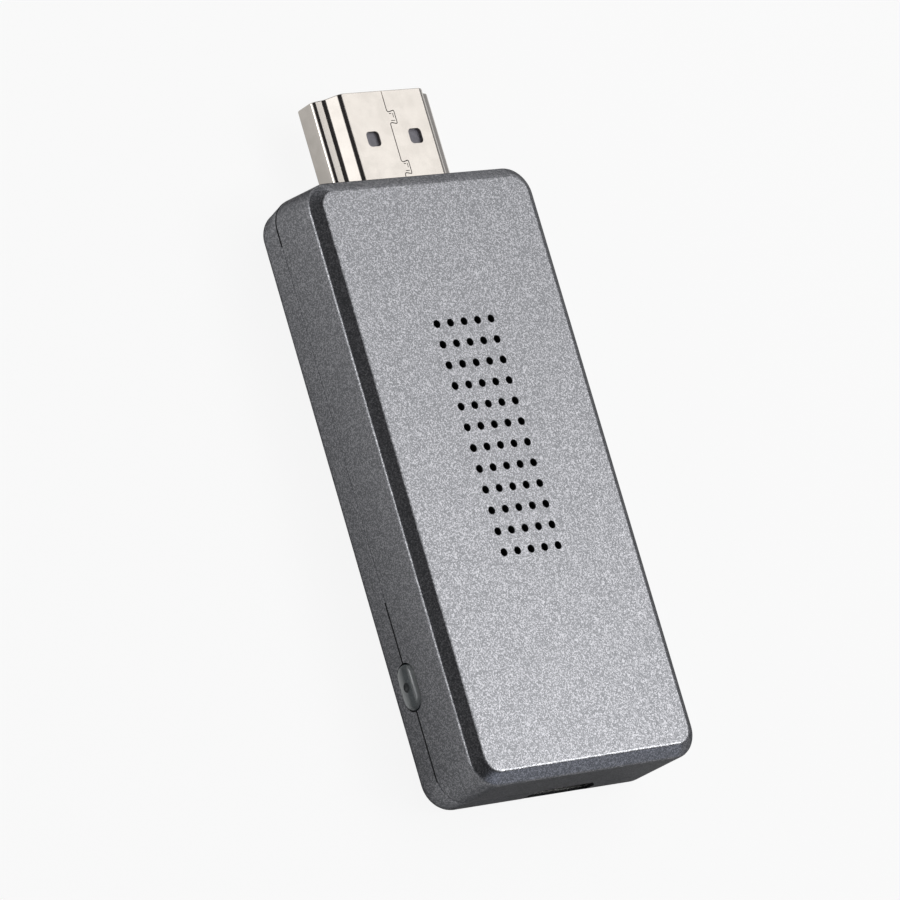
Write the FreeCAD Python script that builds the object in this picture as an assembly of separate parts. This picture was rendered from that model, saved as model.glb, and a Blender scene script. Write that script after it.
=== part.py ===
import FreeCAD, Part

import math
import os

# Wireless display receiver: a slim plug-in receiver with a display plug at one end,
# a power socket at the other and a press button on its left side.
# All sizes are in millimetres. X runs across the housing, +Y points to the plug,
# +Z points out of the vented face. The origin is the centre of the housing's base.

# Lengths shorter than this count as nothing.
touch = 1e-6

# Housing: a deep vented cover over a shallow tray.
housing_width = 26.4
housing_length = 58.2
housing_height = 9.2
housing_corner_radius = 3.4
wall = 1.3
roof = 1.2
floor = 1.1
tray_depth = 1.9
top_chamfer_width = 1.1
top_chamfer_height = 0.95
base_edge_radius = 1.0
seam_bevel = 0.08
lip_height = 0.7
lip_thickness = 0.55
lip_clearance = 0.05

# Cooling holes through the roof, in a block of columns and rows.
vent_diameter = 0.7
vent_columns = 5
vent_rows = 12
vent_pitch_across = 1.6
vent_pitch_along = 2.02
vent_from_far_end = 25.9
vent_sides = 12

# Snap ridges on the tray's lip, which click into grooves in the cover.
snap_length = 4.0
snap_depth = 0.2
snap_from_parting = 0.2
snap_height = 0.42
snap_clearance = 0.04
snap_places = (-8.0, 4.0, 16.0)

# Display plug: a shell rolled from sheet, closed by a dovetailed seam.
plug_x = 0.25
plug_width = 13.9
plug_height = 4.45
plug_exposed = 9.05
plug_inside = 5.5
plug_sheet = 0.3
plug_side_height = 2.55
plug_shoulder_rise = 0.45
plug_shoulder_width = 11.6
plug_face_width = 9.6
plug_bend_radius = 0.5
plug_inner_bend_radius = 0.3
plug_lead_in = 0.12
plug_window = 1.5
plug_window_radius = 0.4
plug_window_spacing = 4.97
plug_window_from_tip = 4.7
plug_seam_width = 0.07
plug_tab_depth = 0.72
plug_tab_neck = 0.95
plug_tab_head = 1.3
plug_first_tab_from_tip = 2.7
plug_tab_spacing = 5.0
plug_ear_length = 2.2
plug_ear_reach = 2.4
plug_pin_width = 0.9
plug_clearance = 0.1
plug_insulator_setback = 0.6
plug_insulator_gap = 0.03
plug_slot_width = 10.6
plug_slot_height = 2.0
plug_slot_end_wall = 2.0

# Contacts of the display plug, in two staggered rows.
contact_pitch = 1.0
contact_width = 0.36
contact_sheet = 0.15
upper_contact_count = 10
lower_contact_count = 9
contact_setback = 1.3
contact_nose = 0.7
contact_nose_dip = 0.14
contact_tail = 1.5

# Main board, held between the tray's bosses and the cover's posts.
board_thickness = 1.0
board_lift = 0.15
board_gap = 0.4
board_notch_gap = 0.25
board_from_plug = 0.7
boss_diameter = 2.4
boss_pin_diameter = 1.1
boss_pin_rise = 0.6
boss_from_side = 2.1
near_boss_from_end = 2.8
far_boss_from_plug = 6.9
post_diameter = 2.6
pin_clearance = 0.1
cradle_rib = 0.8
cradle_from_wall = 2.6

# Power socket under the board, facing the end opposite the plug.
socket_x = 1.3
socket_width = 7.5
socket_height = 2.35
socket_depth = 5.2
socket_sheet = 0.25
socket_recess = 0.25
socket_narrow_width = 5.5
socket_side_height = 1.25
socket_bend_radius = 0.3
socket_clearance = 0.12
socket_ear_reach = 1.0
socket_ear_length = 1.4
socket_back = 1.2
tongue_width = 3.9
tongue_sheet = 0.6
tongue_length = 3.2
tongue_from_board = 0.75
socket_contact_count = 5
socket_contact_pitch = 0.65
socket_contact_width = 0.3
socket_contact_sheet = 0.12
socket_contact_step = 0.36
socket_contact_tail = 0.9

# Side button: a clear moulded cap with a flange that keeps it in the housing.
button_from_end = 11.38
button_length = 4.45
button_width = 2.5
button_stand_out = 0.35
button_edge_radius = 0.35
button_clearance = 0.1
button_flange_rim = 0.55
button_flange = 0.45
button_flange_gap = 0.05
button_dimple_width = 0.9
button_dimple_depth = 0.22
button_post_diameter = 1.3
button_travel = 0.25
button_guide = 0.8

# Push switch on the underside of the board, behind the button.
switch_length = 4.7
switch_depth = 2.4
switch_height = 1.65
switch_from_wall = 1.95
switch_sheet = 0.15
switch_cavity_length = 2.9
switch_cavity_height = 1.15
switch_cavity_depth = 1.0
plunger_nub_length = 1.7
plunger_nub_height = 0.8
plunger_flange_rim = 0.35
plunger_flange = 0.35
plunger_clearance = 0.05
plunger_reach = 0.4
spring_sheet = 0.08
spring_width = 0.9
spring_rise = 0.3

# Chips and parts on the board.
carrier_thickness = 0.35
cap_margin = 0.3
processor_size = 12.0
processor_height = 1.2
thermal_pad_size = 11.0
thermal_pad_thickness = 0.5
heat_sink_size = 13.0
heat_sink_base = 0.8
heat_sink_fin = 0.6
heat_sink_fin_height = 0.95
heat_sink_fin_count = 7
memory_width = 12.5
memory_length = 7.5
memory_height = 1.0
chip_gap = 0.9
flash_width = 3.9
flash_length = 4.9
flash_height = 1.45
flash_lead_pitch = 1.27
flash_lead_rows = 4
flash_x = 3.0
flash_ahead = 3.0
regulator_width = 1.6
regulator_length = 2.9
regulator_height = 1.0
regulator_lead_pitch = 0.95
regulator_ahead = 1.2
lead_width = 0.4
lead_sheet = 0.15
lead_reach = 0.9
lead_shoulder = 0.3
lead_slope = 0.15
lead_standoff = 0.1
inductor_size = 3.0
inductor_height = 1.5
inductor_corner = 0.45
inductor_behind = 3.3
crystal_width = 2.5
crystal_length = 3.2
crystal_height = 0.75
crystal_lid_margin = 0.2
crystal_lid_radius = 0.4
side_part_pitch = 4.1
radio_x = 1.5
radio_width = 12.0
radio_length = 11.0
radio_board_thickness = 0.8
half_hole_diameter = 0.5
half_hole_pitch = 1.5
half_hole_count = 6
radio_chip_size = 5.0
radio_chip_height = 0.75
shield_length = 7.4
shield_rim = 0.7
shield_height = 1.5
shield_sheet = 0.15
shield_corner_radius = 0.6
antenna_length = 5.0
antenna_width = 1.3
antenna_height = 1.0
antenna_from_end = 1.2
array_width = 2.5
array_length = 1.0
array_height = 0.5
array_pitch = 3.6
array_count = 3
small_part_width = 0.5
small_part_length = 1.0
capacitor_height = 0.5
resistor_height = 0.35
small_part_pitch = 1.4
small_parts_in_row = 7
bulk_capacitor_length = 3.2
bulk_capacitor_width = 1.6
bulk_capacitor_spacing = 9.6
lamp_length = 1.6
lamp_width = 0.8
lamp_height = 0.6
lamp_corner = 0.2

# Places that follow from the sizes above.
half_width = housing_width / 2
half_length = housing_length / 2
parting_height = floor + tray_depth
inner_roof = housing_height - roof
board_bottom = parting_height + board_lift
board_top = board_bottom + board_thickness
board_width = housing_width - 2 * wall - 2 * board_gap
board_end = half_length - wall - board_gap
plug_z = housing_height / 2
plug_bottom = plug_z - plug_height / 2
plug_top = plug_z + plug_height / 2
plug_tip_y = half_length + plug_exposed
plug_rear_y = half_length - plug_inside
board_notch_y = plug_rear_y - board_from_plug
boss_x = board_width / 2 - boss_from_side
near_boss_y = -board_end + near_boss_from_end
far_boss_y = board_notch_y - far_boss_from_plug
boss_places = [(x, y) for x in (-boss_x, boss_x) for y in (near_boss_y, far_boss_y)]
socket_mouth_y = -half_length + socket_recess
socket_bottom = board_bottom - socket_height
button_y = -half_length + button_from_end
button_z = parting_height
button_flange_x = -half_width + wall + button_flange_gap
switch_z = board_bottom - switch_height / 2
button_flange_end_x = button_flange_x + button_flange
button_notch_x = button_flange_end_x + button_travel + board_notch_gap
switch_front_x = -half_width + wall + switch_from_wall
switch_base_x = switch_front_x + switch_sheet
plunger_tip_x = switch_front_x - plunger_reach
switch_back_x = switch_base_x + switch_cavity_depth
vent_centre_y = half_length - vent_from_far_end
processor_y = vent_centre_y
side_x = (processor_size / 2 + board_width / 2) / 2
front_row_y = processor_y - processor_size / 2 - 2 * small_part_length
radio_y = (near_boss_y + bulk_capacitor_length / 2 + front_row_y - small_part_length / 2) / 2


def point(u, v):
    """A flat point, before it is placed on one of the three planes."""
    return FreeCAD.Vector(u, v, 0)


def on_plane(axis, place):
    """Returns the function that puts a flat point on the plane square to the axis."""
    if axis == "x":
        return lambda p: FreeCAD.Vector(place, p.x, p.y)
    if axis == "y":
        return lambda p: FreeCAD.Vector(p.x, place, p.y)
    return lambda p: FreeCAD.Vector(p.x, p.y, place)


def outline(corners, axis, place):
    """A closed wire through corners (u, v, radius), rounded by arcs of those radii."""
    arcs = []
    for index, (u, v, radius) in enumerate(corners):
        corner = point(u, v)
        back = (point(*corners[index - 1][:2]) - corner).normalize()
        ahead = (point(*corners[(index + 1) % len(corners)][:2]) - corner).normalize()
        half_angle = back.getAngle(ahead) / 2
        reach = radius / math.tan(half_angle)
        middle = (back + ahead).normalize() * (radius / math.sin(half_angle) - radius)
        arcs.append((corner + back * reach, corner + middle, corner + ahead * reach))
    put = on_plane(axis, place)
    edges = []
    for index, (start, middle, end) in enumerate(arcs):
        following = arcs[(index + 1) % len(arcs)][0]
        if (end - start).Length > touch:
            edges.append(Part.Arc(put(start), put(middle), put(end)).toShape())
        if (following - end).Length > touch:
            edges.append(Part.LineSegment(put(end), put(following)).toShape())
    return Part.Wire(edges)


def rectangle(width, length, radius=0.0, centre=(0.0, 0.0)):
    """Corners of a rectangle about a centre, for outline and prism."""
    u, v = centre
    across, along = width / 2, length / 2
    return [
        (u + across, v - along, radius),
        (u + across, v + along, radius),
        (u - across, v + along, radius),
        (u - across, v - along, radius),
    ]


def section(corners, axis, place, grow=0.0):
    """A flat face inside an outline, grown outwards by an even margin."""
    face = Part.Face(outline(corners, axis, place))
    return face.makeOffset2D(grow) if grow else face


def prism(corners, axis, start, end, grow=0.0):
    """A section drawn out along its axis from start to end."""
    direction = on_plane(axis, end - start)(point(0, 0))
    return section(corners, axis, start, grow).extrude(direction)


def block(x_range, y_range, z_range):
    """A plain block between two places on each axis."""
    low = FreeCAD.Vector(x_range[0], y_range[0], z_range[0])
    size = FreeCAD.Vector(x_range[1], y_range[1], z_range[1]) - low
    return Part.makeBox(size.x, size.y, size.z, low)


def about(centre, size):
    """The range of a size about its centre."""
    return (centre - size / 2, centre + size / 2)


def upright(diameter, x, y, z_range):
    """An upright round bar."""
    foot = FreeCAD.Vector(x, y, z_range[0])
    return Part.makeCylinder(diameter / 2, z_range[1] - z_range[0], foot)


def small_hole(diameter, x, y, z_range):
    """A small upright hole with flat sides, too fine to tell from a round one."""
    corners = []
    for index in range(vent_sides):
        angle = 2 * math.pi * index / vent_sides
        u, v = x + diameter / 2 * math.cos(angle), y + diameter / 2 * math.sin(angle)
        corners.append((u, v, 0.0))
    return prism(corners, "z", *z_range)


def bent_strip(path, sheet, axis, start, end):
    """Sheet metal bent along a path, seen along the axis, from start to end wide."""
    points = [point(u, v) for u, v in path]
    runs = [(b - a).normalize() for a, b in zip(points, points[1:])]
    normals = [point(-run.y, run.x) for run in runs]
    left, right = [], []
    for index, place in enumerate(points):
        before = normals[max(index - 1, 0)]
        after = normals[min(index, len(normals) - 1)]
        mitre = (before + after) * (sheet / 2 / (1 + before.dot(after)))
        left.append(place + mitre)
        right.append(place - mitre)
    corners = [(p.x, p.y, 0.0) for p in left + right[::-1]]
    return prism(corners, axis, start, end)


def joined(shapes):
    """Overlapping or touching shapes made one solid, with no leftover edges."""
    first, *others = shapes
    return first.fuse(others).removeSplitter()


def group(shapes):
    """Like pieces that share a node but stay separate solids."""
    return Part.makeCompound(shapes)


def plan(inset):
    """The housing's outline in plan, moved inwards by an even margin."""
    radius = housing_corner_radius - inset
    return rectangle(housing_width - 2 * inset, housing_length - 2 * inset, radius)


def tapered(inset_low, z_low, inset_high, z_high):
    """A band of the housing that tapers from one inset to another."""
    low = outline(plan(inset_low), "z", z_low)
    high = outline(plan(inset_high), "z", z_high)
    return Part.makeLoft([low, high], True, True)


def level_edges(shape, z):
    """The edges of a shape that lie flat at one height."""
    return [
        edge
        for edge in shape.Edges
        if abs(edge.BoundBox.ZMin - z) < touch and abs(edge.BoundBox.ZMax - z) < touch
    ]


def ring(outer_inset, inner_inset, z_range):
    """A rim that runs round the housing between two insets."""
    outside = prism(plan(outer_inset), "z", *z_range)
    return outside.cut(prism(plan(inner_inset), "z", *z_range))


def snap_ridges(extra):
    """Wedge ridges along both sides of the lip; extra widens them into grooves."""
    ridges = []
    z_low = parting_height + snap_from_parting - extra
    z_high = z_low + snap_height + 2 * extra
    lip_x = half_width - wall + lip_thickness
    crest_x = lip_x + snap_depth + extra
    root_x = lip_x - lip_thickness / 2
    wedge = [
        (root_x, z_low, 0.0),
        (lip_x + extra, z_low, 0.0),
        (crest_x, (z_low + z_high) / 2, 0.0),
        (lip_x + extra, z_high, 0.0),
        (root_x, z_high, 0.0),
    ]
    for place in snap_places:
        low, high = about(place, snap_length + 2 * extra)
        ridge = prism(wedge, "y", low, high)
        ridges.append(ridge)
        ridges.append(ridge.mirror(FreeCAD.Vector(0, 0, 0), FreeCAD.Vector(1, 0, 0)))
    return ridges


def plug_corners():
    """Section of the display plug: a wide foot, sloping shoulders and a narrow face."""
    shoulder_z = plug_bottom + plug_side_height
    ledge_z = shoulder_z + plug_shoulder_rise
    right = [
        (plug_width / 2, plug_bottom, plug_bend_radius),
        (plug_width / 2, shoulder_z, plug_bend_radius),
        (plug_shoulder_width / 2, ledge_z, plug_inner_bend_radius),
        (plug_face_width / 2, plug_top, plug_bend_radius),
    ]
    left = [(-x, z, radius) for x, z, radius in reversed(right)]
    return [(plug_x + x, z, radius) for x, z, radius in right + left]


def socket_corners():
    """Section of the power socket: narrow against the board, with cut corners."""
    wide_z = socket_bottom + socket_side_height
    right = [
        (socket_width / 2, socket_bottom, socket_bend_radius),
        (socket_width / 2, wide_z, socket_bend_radius / 2),
        (socket_narrow_width / 2, board_bottom, socket_bend_radius),
    ]
    left = [(-x, z, radius) for x, z, radius in reversed(right)]
    return [(socket_x + x, z, radius) for x, z, radius in right + left]


def button_section(rim):
    """Oblong section of the side button, with a rim added all round."""
    length, width = button_length + 2 * rim, button_width + 2 * rim
    return rectangle(length, width, width / 2, (button_y, button_z))


def wall_openings():
    """What the housing's walls leave open: for the plug, the socket and the button."""
    past = 1.0
    plug = prism(
        plug_corners(), "y", half_length - wall - past, half_length + past, plug_clearance
    )
    socket = prism(
        socket_corners(), "y", -half_length - past, past - half_length + wall, socket_clearance
    )
    button = prism(
        button_section(button_clearance), "x", -half_width - past, button_flange_x
    )
    return [plug, socket, button]


def make_upper_housing():
    """Deep cover: chamfered rim, vents, rabbet for the lip, posts and a plug rib."""
    shoulder_z = housing_height - top_chamfer_height
    walls = prism(plan(0.0), "z", parting_height, shoulder_z)
    walls = walls.makeChamfer(seam_bevel, level_edges(walls, parting_height))
    rim = tapered(0.0, shoulder_z, top_chamfer_width, housing_height)
    outside = joined([walls, rim])
    hollow = prism(plan(wall), "z", parting_height, inner_roof)
    rabbet_inset = wall - lip_thickness - lip_clearance
    rabbet_top = parting_height + lip_height + lip_clearance
    rabbet = ring(rabbet_inset, wall, (parting_height, rabbet_top))
    vents = [
        small_hole(
            vent_diameter,
            (column - (vent_columns - 1) / 2) * vent_pitch_across,
            vent_centre_y + (row - (vent_rows - 1) / 2) * vent_pitch_along,
            (inner_roof - roof / 2, housing_height + roof / 2),
        )
        for column in range(vent_columns)
        for row in range(vent_rows)
    ]
    shell = outside.cut([hollow, rabbet] + snap_ridges(snap_clearance))
    shell = shell.cut(vents).cut(wall_openings())
    into_roof = inner_roof + roof / 2
    posts = [upright(post_diameter, x, y, (board_top, into_roof)) for x, y in boss_places]
    bore = boss_pin_diameter + 2 * pin_clearance
    bore_range = (board_top - wall, board_top + boss_pin_rise + lip_clearance)
    bores = [upright(bore, x, y, bore_range) for x, y in boss_places]
    rib_y = half_length - wall - cradle_from_wall
    rib_x = about(plug_x, plug_face_width / 2)
    rib = block(rib_x, (rib_y, rib_y + cradle_rib), (plug_top, into_roof))
    return joined([shell, rib] + [post.cut(bores) for post in posts])


def make_lower_housing():
    """Shallow tray: rounded base edge, lip with snap ridges, bosses and button guides."""
    outside = prism(plan(0.0), "z", 0.0, parting_height)
    outside = outside.makeFillet(base_edge_radius, level_edges(outside, 0.0))
    outside = outside.makeChamfer(seam_bevel, level_edges(outside, parting_height))
    tray = outside.cut(prism(plan(wall), "z", floor, parting_height))
    lip = ring(wall - lip_thickness, wall, (parting_height, parting_height + lip_height))
    tray = joined([tray, lip] + snap_ridges(0.0))
    bosses = [upright(boss_diameter, x, y, (floor / 2, board_bottom)) for x, y in boss_places]
    pins = [
        upright(boss_pin_diameter, x, y, (floor, board_top + boss_pin_rise))
        for x, y in boss_places
    ]
    rib_y = half_length - wall - cradle_from_wall
    cradle = block(
        about(plug_x, plug_shoulder_width), (rib_y, rib_y + cradle_rib), (floor / 2, plug_bottom)
    )
    guide_reach = button_length / 2 + button_flange_rim + button_clearance
    guide_x = (-half_width + wall / 2, switch_front_x - button_clearance)
    guides = [
        block(guide_x, about(guide_y, button_guide), (floor / 2, parting_height))
        for guide_y in about(button_y, 2 * guide_reach + button_guide)
    ]
    relief = block(
        about(socket_x, socket_width + 2 * socket_clearance),
        (-half_length + wall / 2, socket_mouth_y + socket_depth + socket_clearance),
        (socket_bottom - socket_clearance, parting_height),
    )
    tray = joined([tray, cradle] + bosses + pins + guides)
    return tray.cut(wall_openings() + [relief.cut(ring(0.0, wall, (0.0, parting_height)))])


def make_side_button():
    """Clear cap with a rounded edge, a finger dimple, a retaining flange and a post."""
    front_x = -half_width - button_stand_out
    cap = prism(button_section(0.0), "x", front_x, button_flange_x)
    front_edges = [edge for edge in cap.Edges if edge.BoundBox.XMax < front_x + touch]
    cap = cap.makeFillet(button_edge_radius, front_edges)
    half = button_dimple_width / 2
    radius = (half**2 + button_dimple_depth**2) / (2 * button_dimple_depth)
    dimple_x = front_x - radius + button_dimple_depth
    dimple = Part.makeSphere(radius, FreeCAD.Vector(dimple_x, button_y, button_z))
    flange = prism(button_section(button_flange_rim), "x", button_flange_x, button_flange_end_x)
    post = Part.makeCylinder(
        button_post_diameter / 2,
        plunger_tip_x - button_flange_x,
        FreeCAD.Vector(button_flange_x, button_y, switch_z),
        FreeCAD.Vector(1, 0, 0),
    )
    return joined([cap, flange, post]).cut(dimple)


def make_switch_plunger():
    """The switch's moving nub, with a flange that stays behind the steel cover."""
    flange_x = switch_base_x + plunger_clearance / 2
    nub = block(
        (plunger_tip_x, flange_x + plunger_flange),
        about(button_y, plunger_nub_length),
        about(switch_z, plunger_nub_height),
    )
    flange = block(
        (flange_x, flange_x + plunger_flange),
        about(button_y, plunger_nub_length + 2 * plunger_flange_rim),
        about(switch_z, plunger_nub_height + plunger_flange_rim / 2),
    )
    return joined([nub, flange])


def make_switch_spring():
    """Bowed snap spring that stands on the back wall of the switch's cavity."""
    reach = switch_cavity_length / 2 - plunger_clearance
    foot = 2 * spring_sheet
    low, high = about(switch_z, spring_width)

    def place(x, y):
        return FreeCAD.Vector(x, button_y + y, low)

    crown_x = switch_back_x - spring_rise
    outer = Part.Arc(place(switch_back_x, -reach), place(crown_x, 0), place(switch_back_x, reach))
    inner = Part.Arc(
        place(switch_back_x, reach - foot),
        place(crown_x + spring_sheet, 0),
        place(switch_back_x, foot - reach),
    )
    feet = [
        Part.LineSegment(place(switch_back_x, reach), place(switch_back_x, reach - foot)),
        Part.LineSegment(place(switch_back_x, foot - reach), place(switch_back_x, -reach)),
    ]
    wire = Part.Wire([outer.toShape(), feet[0].toShape(), inner.toShape(), feet[1].toShape()])
    return Part.Face(wire).extrude(FreeCAD.Vector(0, 0, high - low))


def make_switch_base():
    """Moulded body of the switch, open towards the button."""
    low_z = board_bottom - switch_height
    body = block(
        (switch_base_x, switch_base_x + switch_depth),
        about(button_y, switch_length),
        (low_z, board_bottom),
    )
    cavity = block(
        (switch_base_x, switch_back_x),
        about(button_y, switch_cavity_length),
        about(switch_z, switch_cavity_height),
    )
    return body.cut(cavity)


def make_switch_cover():
    """Folded steel sheet over the front and the free side of the switch."""
    low_z = board_bottom - switch_height - switch_sheet
    front = block(
        (switch_front_x, switch_base_x), about(button_y, switch_length), (low_z, board_bottom)
    )
    side = block(
        (switch_front_x, switch_base_x + switch_depth / 2),
        about(button_y, switch_length),
        (low_z, low_z + switch_sheet),
    )
    window = block(
        (switch_front_x, switch_base_x),
        about(button_y, plunger_nub_length + 2 * plunger_clearance),
        about(switch_z, plunger_nub_height + 2 * plunger_clearance),
    )
    return joined([front, side]).cut(window)


def seam_slit():
    """The plug's seam: a fine slit that steps round dovetailed tabs."""
    path = [(plug_x, plug_tip_y + plug_sheet)]
    tab_y = plug_tip_y - plug_first_tab_from_tip
    while tab_y - plug_tab_head / 2 > plug_rear_y:
        head_x = plug_x + plug_tab_depth
        path.append((plug_x, tab_y + plug_tab_neck / 2))
        path.append((head_x, tab_y + plug_tab_head / 2))
        path.append((head_x, tab_y - plug_tab_head / 2))
        path.append((plug_x, tab_y - plug_tab_neck / 2))
        tab_y -= plug_tab_spacing
    path.append((plug_x, plug_rear_y - plug_sheet))
    low_z, high_z = plug_top - 2 * plug_sheet, plug_top + plug_sheet
    return bent_strip(path, plug_seam_width, "z", low_z, high_z)


def plug_ear_y():
    """Where the plug's solder ears lie along the board."""
    return (plug_rear_y + plug_sheet, plug_rear_y + plug_sheet + plug_ear_length)


def ear_pin_places():
    """Centres of the pins that go through the board, one at each ear."""
    low, high = plug_ear_y()
    reach = plug_width / 2 + plug_ear_reach - plug_sheet / 2
    return [(x, (low + high) / 2) for x in about(plug_x, 2 * reach)]


def make_plug_shell():
    """Plated sheet rolled to the plug's section, with four windows and two ears."""
    outside = prism(plug_corners(), "y", plug_rear_y, plug_tip_y)
    tip_edges = [edge for edge in outside.Edges if edge.BoundBox.YMin > plug_tip_y - touch]
    outside = outside.makeChamfer(plug_lead_in, tip_edges)
    hollow = prism(plug_corners(), "y", plug_rear_y, plug_tip_y, -plug_sheet)
    window_y = plug_tip_y - plug_window_from_tip
    windows = [
        prism(
            rectangle(plug_window, plug_window, plug_window_radius, (x, window_y)),
            "z",
            plug_bottom - plug_sheet,
            plug_top + plug_sheet,
        )
        for x in about(plug_x, plug_window_spacing)
    ]
    ears = []
    for side, (pin_x, pin_y) in zip((-1, 1), ear_pin_places()):
        inner_x = plug_x + side * (plug_width / 2 - plug_sheet)
        outer_x = plug_x + side * (plug_width / 2 + plug_ear_reach)
        ear_z = (board_top, board_top + plug_sheet)
        ears.append(block(sorted((inner_x, outer_x)), plug_ear_y(), ear_z))
        pin_z = (board_bottom - plug_sheet, board_top + plug_sheet)
        ears.append(block(about(pin_x, plug_sheet), about(pin_y, plug_pin_width), pin_z))
    return joined([outside.cut([hollow] + windows + [seam_slit()])] + ears)


def contact_path(side):
    """Path of a plug contact in side view: nose, straight run, bend and tail."""
    run_z = plug_z + side * plug_slot_height / 2
    nose_y = plug_tip_y - contact_setback
    surface = board_top if side > 0 else board_bottom
    tail_z = surface + side * contact_sheet / 2
    bend_y = board_notch_y + contact_sheet
    return [
        (nose_y, run_z + side * contact_nose_dip),
        (nose_y - contact_nose, run_z),
        (plug_rear_y - contact_sheet, run_z),
        (bend_y, tail_z),
        (bend_y - contact_tail, tail_z),
    ]


def contact_row(side, count):
    """One row of plug contacts, side by side."""
    contacts = []
    for index in range(count):
        x = plug_x + (index - (count - 1) / 2) * contact_pitch
        low, high = about(x, contact_width)
        contacts.append(bent_strip(contact_path(side), contact_sheet, "x", low, high))
    return contacts


def make_plug_upper_contacts():
    """The ten contacts over the plug's slot."""
    return group(contact_row(1, upper_contact_count))


def make_plug_lower_contacts():
    """The nine contacts under the plug's slot, between the upper ones."""
    return group(contact_row(-1, lower_contact_count))


def make_plug_insulator():
    """Moulded block inside the shell, with the slot that the mating tongue enters."""
    front_y = plug_tip_y - plug_insulator_setback
    grow = -plug_sheet - plug_insulator_gap
    body = prism(plug_corners(), "y", plug_rear_y, front_y, grow)
    slot = block(
        about(plug_x, plug_slot_width),
        (plug_rear_y + plug_slot_end_wall, front_y + plug_insulator_setback),
        about(plug_z, plug_slot_height),
    )
    contacts = contact_row(1, upper_contact_count) + contact_row(-1, lower_contact_count)
    return body.cut([slot] + contacts)


def make_power_socket_shell():
    """Plated shell of the power socket, with four ears soldered to the board."""
    rear_y = socket_mouth_y + socket_depth
    outside = prism(socket_corners(), "y", socket_mouth_y, rear_y)
    hollow = prism(socket_corners(), "y", socket_mouth_y, rear_y, -socket_sheet)
    ears = []
    first_ear_y = -board_end + socket_sheet
    for ear_y in (first_ear_y, rear_y - socket_ear_length):
        for side in (-1, 1):
            inner_x = socket_x + side * (socket_narrow_width / 2 - socket_bend_radius)
            outer_x = socket_x + side * (socket_width / 2 + socket_ear_reach)
            ear_z = (board_bottom - socket_sheet, board_bottom)
            ears.append(block(sorted((inner_x, outer_x)), (ear_y, ear_y + socket_ear_length), ear_z))
    return joined([outside] + ears).cut(hollow)


def socket_contacts():
    """The socket's contacts, under its tongue and out at the back to the board."""
    rear_y = socket_mouth_y + socket_depth
    front_y = rear_y - socket_back - tongue_length
    run_z = board_bottom - tongue_from_board - tongue_sheet - socket_contact_sheet / 2
    tail_z = board_bottom - socket_contact_sheet / 2
    path = [
        (front_y + socket_contact_sheet, run_z),
        (rear_y + socket_contact_sheet, run_z),
        (rear_y + socket_contact_step, tail_z),
        (rear_y + socket_contact_step + socket_contact_tail, tail_z),
    ]
    contacts = []
    for index in range(socket_contact_count):
        x = socket_x + (index - (socket_contact_count - 1) / 2) * socket_contact_pitch
        low, high = about(x, socket_contact_width)
        contacts.append(bent_strip(path, socket_contact_sheet, "x", low, high))
    return contacts


def make_power_socket_contacts():
    """The five contacts of the power socket."""
    return group(socket_contacts())


def make_power_socket_insulator():
    """Moulded back of the power socket, with the thin tongue that carries its contacts."""
    rear_y = socket_mouth_y + socket_depth
    back = prism(socket_corners(), "y", rear_y - socket_back, rear_y, -socket_sheet)
    tongue_top = board_bottom - tongue_from_board
    tongue = block(
        about(socket_x, tongue_width),
        (rear_y - socket_back - tongue_length, rear_y - socket_back),
        (tongue_top - tongue_sheet, tongue_top),
    )
    return joined([back, tongue]).cut(socket_contacts())


def make_main_board():
    """Circuit board, cut away round the plug and the button and drilled for the pins."""
    radius = housing_corner_radius - wall - board_gap
    board = prism(rectangle(board_width, 2 * board_end, radius), "z", board_bottom, board_top)
    z_range = (board_bottom - board_thickness, board_top + board_thickness)
    plug_notch = block(
        about(plug_x, plug_width + 2 * board_notch_gap), (board_notch_y, half_length), z_range
    )
    notch_length = button_length + 2 * (button_flange_rim + board_notch_gap)
    button_notch = block((-half_width, button_notch_x), about(button_y, notch_length), z_range)
    hole = boss_pin_diameter + 2 * pin_clearance
    holes = [upright(hole, x, y, z_range) for x, y in boss_places]
    slots = [
        block(
            about(x, plug_sheet + 2 * pin_clearance),
            about(y, plug_pin_width + 2 * pin_clearance),
            z_range,
        )
        for x, y in ear_pin_places()
    ]
    return board.cut([plug_notch, button_notch] + holes + slots)


def on_top(shape, x, y):
    """Seats a part, drawn standing on height zero, on the board's upper face."""
    return shape.translated(FreeCAD.Vector(x, y, board_top))


def under(shape, x, y):
    """Seats a part, drawn standing on height zero, upside down under the board."""
    turned = shape.mirror(FreeCAD.Vector(0, 0, 0), FreeCAD.Vector(0, 0, 1))
    return turned.translated(FreeCAD.Vector(x, y, board_bottom))


def ball_grid_package(width, length, height):
    """A chip package: a thin carrier with a slightly smaller moulded cap."""
    cap = rectangle(width - 2 * cap_margin, length - 2 * cap_margin)
    return joined(
        [
            prism(rectangle(width, length), "z", 0.0, carrier_thickness),
            prism(cap, "z", carrier_thickness, height),
        ]
    )


def make_processor():
    """The main chip, under the vents."""
    return on_top(ball_grid_package(processor_size, processor_size, processor_height), 0, processor_y)


def make_memory_chip():
    """Working memory, between the processor and the plug."""
    y = processor_y + processor_size / 2 + chip_gap + memory_length / 2
    return on_top(ball_grid_package(memory_width, memory_length, memory_height), 0, y)


def make_thermal_pad():
    """Soft pad that carries heat from the processor to the heat sink."""
    z_low = board_top + processor_height
    pad = rectangle(thermal_pad_size, thermal_pad_size, 0.0, (0.0, processor_y))
    return prism(pad, "z", z_low, z_low + thermal_pad_thickness)


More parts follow.
